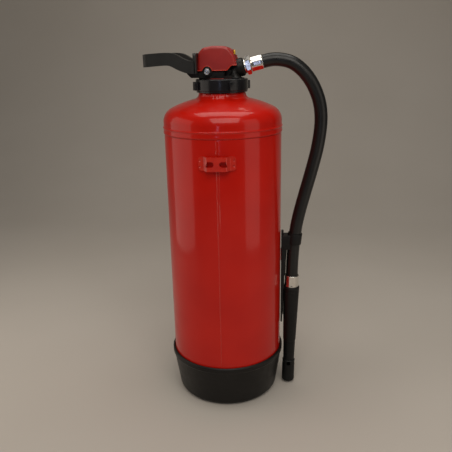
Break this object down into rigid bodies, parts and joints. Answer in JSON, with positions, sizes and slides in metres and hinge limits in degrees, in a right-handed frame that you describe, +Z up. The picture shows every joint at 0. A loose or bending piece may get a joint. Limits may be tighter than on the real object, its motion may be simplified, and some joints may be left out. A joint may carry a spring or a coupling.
{
  "type": "fire extinguisher",
  "caption": "Upright cartridge fire extinguisher: red welded tank, black foot, hinged red strike cap, loop carry handle, and a black hose looping down to a foam nozzle in a side holder.",
  "frame": {"origin": "on the tank's axis, at the bottom face of the foot", "axes": "+Z up along the tank, -Y out of the wall bracket, +X along the outlet towards the hose, -X along the carry handle"},
  "size_m": [0.2385, 0.1716, 0.4992],
  "materials": {
    "red_enamel": "gloss red powder enamel on welded steel",
    "red_plastic": "satin moulded red plastic",
    "black_plastic": "satin moulded black plastic",
    "black_rubber": "smooth black rubber",
    "nickel_plate": "bright nickel plate on turned brass",
    "steel": "zinc-plated steel",
    "yellow_plastic": "moulded yellow plastic"
  },
  "bodies": {
    "tank": {"tank_cylinder": "red_enamel", "top_dome": "red_enamel", "bottom_dome": "red_enamel", "neck_ring": "red_enamel", "hanger_bracket": "red_enamel", "holder_lug": "red_enamel", "foot_cup": "black_plastic", "union_nut": "black_plastic", "neck_o_ring": "black_rubber", "washer_ring": "red_plastic", "valve_body": "black_plastic", "carry_handle": "black_plastic", "handle_screw_1": "steel", "handle_screw_2": "steel", "pivot_screw_1": "steel", "pivot_screw_2": "steel", "gas_cartridge": "steel", "cartridge_gasket": "black_rubber", "dip_tube": "black_plastic", "dip_strainer": "black_plastic", "outlet_adaptor": "nickel_plate", "union_gasket": "black_rubber", "hex_nut": "nickel_plate", "upper_hose_tail": "nickel_plate", "upper_ferrule": "nickel_plate", "hose": "black_rubber", "lower_ferrule": "nickel_plate", "lower_hose_tail": "nickel_plate", "nozzle_body": "black_plastic", "jet_disc": "nickel_plate", "nozzle_tip": "black_plastic", "nozzle_holder": "black_plastic", "holder_screw": "steel"},
    "cap": {"strike_cap": "red_plastic"},
    "plunger": {"plunger": "steel", "plunger_o_ring": "black_rubber", "return_spring": "steel"},
    "pin": {"safety_pin": "yellow_plastic"}
  },
  "joints": [
    {"name": "cap_hinge", "type": "hinge", "parent": "tank", "child": "cap", "pos_m": [-0.0166, 0, 0.4677], "axis": [0, 1, 0], "range_deg": [0, 7], "stiffness_Nm_per_rad": 1.2, "springref_deg": -5.73},
    {"name": "plunger_slide", "type": "slide", "parent": "tank", "child": "plunger", "axis": [0, 0, -1], "range_m": [0, 0.0027], "deforming": ["return_spring"]},
    {"name": "pin_slide", "type": "slide", "parent": "cap", "child": "pin", "axis": [0.8191, 0, 0.5736], "range_m": [0, 0.02]}
  ],
  "couplings": [
    {"joint": "plunger_slide", "follows": "cap_hinge", "m_per_rad": 0.0215}
  ]
}
